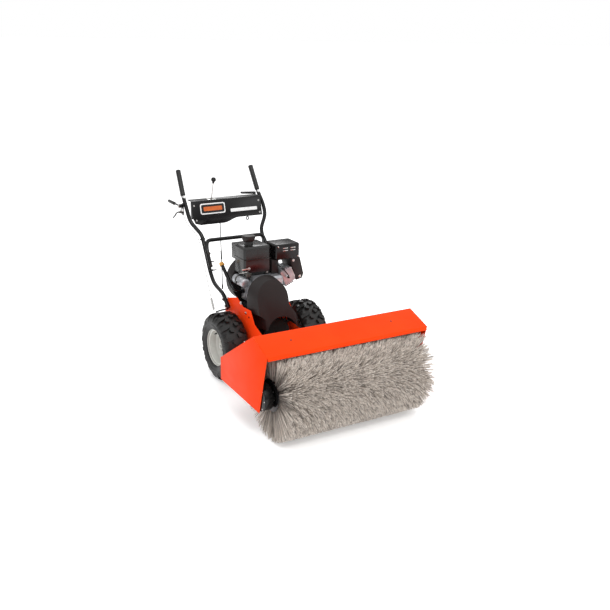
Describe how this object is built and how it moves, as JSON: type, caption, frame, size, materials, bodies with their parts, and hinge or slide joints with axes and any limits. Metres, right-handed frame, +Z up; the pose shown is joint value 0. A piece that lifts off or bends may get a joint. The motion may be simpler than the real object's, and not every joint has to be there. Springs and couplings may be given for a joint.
{
  "type": "walk-behind power brush",
  "caption": "Walk-behind power sweeper: a cylindrical brush under an orange hood, swivelling ahead of a two-wheeled engine unit with black handlebars.",
  "frame": {"origin": "centre of the bounding box at the ground, between the brush and the end of the traction lever", "axes": "+Z up, -Y towards the brush (forwards), +X to the right in a view from the front"},
  "size_m": [0.984, 1.8714, 1.1689],
  "materials": {
    "orange_paint": "gloss",
    "black_paint": "gloss",
    "black_plastic": "matte",
    "grip_rubber": "matte",
    "tyre_rubber": "matte",
    "bright_steel": "satin",
    "cast_alloy": "satin",
    "rim_paint": "satin",
    "bristle": "matte",
    "yellow_plastic": "gloss"
  },
  "bodies": {
    "chassis": {"chassis_side_left": "orange_paint", "chassis_side_right": "orange_paint", "belly_pan": "black_paint", "engine_deck": "black_paint", "nose_plate": "black_paint", "pivot_bracket": "black_paint", "pivot_pin": "bright_steel", "brush_belt": "grip_rubber", "traction_belt": "grip_rubber", "belt_cover": "black_plastic", "engine_block": "cast_alloy", "cylinder_head": "cast_alloy", "fuel_tank": "black_plastic", "muffler": "black_paint", "side_shroud": "black_plastic", "blower_housing": "black_plastic", "electric_starter": "cast_alloy", "oil_filler_tube": "black_paint", "handlebar_left": "black_paint", "handlebar_right": "black_paint", "handle_brace": "black_paint", "grip_left": "grip_rubber", "grip_right": "grip_rubber", "dash_panel": "black_paint", "traction_cable": "bright_steel"},
    "drive_axle": {"axle_shaft": "bright_steel", "rim_left": "rim_paint", "rim_right": "rim_paint", "tyre_left": "tyre_rubber", "tyre_right": "tyre_rubber"},
    "crank_pulley": {"engine_pulley": "bright_steel"},
    "friction_disc": {"friction_disc": "bright_steel"},
    "hex_shaft": {"hex_shaft": "bright_steel"},
    "friction_wheel": {"friction_wheel": "grip_rubber"},
    "brush_input": {"brush_drive_shaft": "bright_steel"},
    "brush_head": {"hood_cover": "orange_paint", "hood_end_left": "orange_paint", "hood_end_right": "orange_paint", "head_frame": "black_paint", "gearbox": "cast_alloy", "chain_case": "black_paint", "chain_cover": "black_paint", "drive_chain": "bright_steel"},
    "gearbox_shaft": {"gearbox_shaft": "bright_steel"},
    "cross_shaft": {"cross_shaft": "bright_steel"},
    "brush": {"brush_shaft": "bright_steel", "brush_core": "black_paint", "brush_bristles": "bristle"},
    "fuel_cap": {"fuel_cap": "black_plastic"},
    "dipstick": {"dipstick": "yellow_plastic"},
    "recoil_handle": {"recoil_handle": "black_plastic"},
    "starter_button": {"starter_button": "grip_rubber"},
    "throttle_lever": {"throttle_lever": "bright_steel"},
    "speed_lever": {"speed_lever": "bright_steel"},
    "shift_rod": {"shift_rod": "black_paint"},
    "shift_arm": {"shift_arm": "bright_steel"},
    "traction_lever": {"traction_lever": "black_paint"},
    "clutch_arm": {"clutch_arm": "black_paint"},
    "brush_lever": {"brush_lever": "black_paint"},
    "lock_trigger": {"lock_trigger": "black_paint"}
  },
  "joints": [
    {"name": "axle_spin", "type": "hinge", "parent": "chassis", "child": "drive_axle", "pos_m": [0, 0.16075, 0.205], "axis": [1, 0, 0], "continuous": true},
    {"name": "crank_spin", "type": "hinge", "parent": "chassis", "child": "crank_pulley", "pos_m": [-0.02, 0.03475, 0.551], "axis": [0, 1, 0], "continuous": true},
    {"name": "friction_disc_spin", "type": "hinge", "parent": "chassis", "child": "friction_disc", "pos_m": [0, 0.08075, 0.29], "axis": [0, 1, 0], "continuous": true},
    {"name": "hex_shaft_spin", "type": "hinge", "parent": "chassis", "child": "hex_shaft", "pos_m": [0, 0.17075, 0.29], "axis": [1, 0, 0], "continuous": true},
    {"name": "friction_wheel_slide", "type": "slide", "parent": "hex_shaft", "child": "friction_wheel", "axis": [1, 0, 0], "range_m": [-0.045, 0.045]},
    {"name": "brush_input_spin", "type": "hinge", "parent": "chassis", "child": "brush_input", "pos_m": [0, -0.03925, 0.29], "axis": [0, 1, 0], "continuous": true},
    {"name": "head_swivel", "type": "hinge", "parent": "chassis", "child": "brush_head", "pos_m": [0, -0.18925, 0.34], "axis": [0, 0, 1], "range_deg": [-15, 15]},
    {"name": "gearbox_spin", "type": "hinge", "parent": "brush_head", "child": "gearbox_shaft", "pos_m": [0, -0.25925, 0.29], "axis": [0, 1, 0], "continuous": true},
    {"name": "cross_shaft_spin", "type": "hinge", "parent": "brush_head", "child": "cross_shaft", "pos_m": [-0.2, -0.34425, 0.29], "axis": [1, 0, 0], "continuous": true},
    {"name": "brush_spin", "type": "hinge", "parent": "brush_head", "child": "brush", "pos_m": [0, -0.68775, 0.248], "axis": [1, 0, 0], "continuous": true},
    {"name": "fuel_cap_turn", "type": "hinge", "parent": "chassis", "child": "fuel_cap", "pos_m": [-0.085, 0.21575, 0.83], "axis": [0, 0, 1], "continuous": true},
    {"name": "dipstick_turn", "type": "hinge", "parent": "chassis", "child": "dipstick", "pos_m": [-0.198, 0.34575, 0.65], "axis": [-0.1395, 0.6022, 0.7861], "continuous": true},
    {"name": "recoil_pull", "type": "slide", "parent": "chassis", "child": "recoil_handle", "axis": [0, 1, 0], "range_m": [0, 0.25], "stiffness_N_per_m": 20, "springref_m": -0.05},
    {"name": "starter_press", "type": "slide", "parent": "chassis", "child": "starter_button", "axis": [1, 0, 0], "range_m": [0, 0.003], "stiffness_N_per_m": 300, "springref_m": -0.002},
    {"name": "throttle_swing", "type": "hinge", "parent": "chassis", "child": "throttle_lever", "pos_m": [-0.118, 0.14575, 0.668], "axis": [0, 1, 0], "range_deg": [-18, 18]},
    {"name": "speed_shift", "type": "hinge", "parent": "chassis", "child": "speed_lever", "pos_m": [-0.1, 0.73575, 0.9], "axis": [1, 0, 0], "range_deg": [-24, 6]},
    {"name": "shift_rod_travel", "type": "slide", "parent": "chassis", "child": "shift_rod", "axis": [0.184, 0.4509, 0.8734], "range_m": [-0.006, 0.019]},
    {"name": "shift_arm_swing", "type": "hinge", "parent": "chassis", "child": "shift_arm", "pos_m": [-0.15, 0.37575, 0.425], "axis": [1, 0, 0], "range_deg": [-3, 10]},
    {"name": "traction_squeeze", "type": "hinge", "parent": "chassis", "child": "traction_lever", "pos_m": [-0.3, 0.74575, 0.955], "axis": [1, 0, 0], "range_deg": [0, 45], "stiffness_Nm_per_rad": 0.8, "springref_deg": -22.92},
    {"name": "clutch_arm_swing", "type": "hinge", "parent": "chassis", "child": "clutch_arm", "pos_m": [-0.1865, 0.29575, 0.385], "axis": [1, 0, 0], "range_deg": [0, 10]},
    {"name": "brush_lever_press", "type": "hinge", "parent": "chassis", "child": "brush_lever", "pos_m": [0.215, 0.73075, 1.004], "axis": [0, 1, 0], "range_deg": [0, 25], "stiffness_Nm_per_rad": 0.5, "springref_deg": -22.92},
    {"name": "lock_trigger_pull", "type": "hinge", "parent": "chassis", "child": "lock_trigger", "pos_m": [-0.3, 0.74575, 0.915], "axis": [1, 0, 0], "range_deg": [0, 15], "stiffness_Nm_per_rad": 0.4, "springref_deg": -22.92}
  ],
  "couplings": [
    {"joint": "hex_shaft_spin", "follows": "axle_spin", "ratio": -2.7994},
    {"joint": "gearbox_spin", "follows": "brush_spin", "ratio": 4},
    {"joint": "brush_input_spin", "follows": "brush_spin", "ratio": 4},
    {"joint": "cross_shaft_spin", "follows": "brush_spin", "ratio": 1.7692},
    {"joint": "friction_wheel_slide", "follows": "speed_shift", "m_per_rad": 0.105},
    {"joint": "shift_rod_travel", "follows": "speed_shift", "m_per_rad": -0.044},
    {"joint": "shift_arm_swing", "follows": "speed_shift", "ratio": -0.38},
    {"joint": "clutch_arm_swing", "follows": "traction_squeeze", "ratio": 0.21}
  ]
}
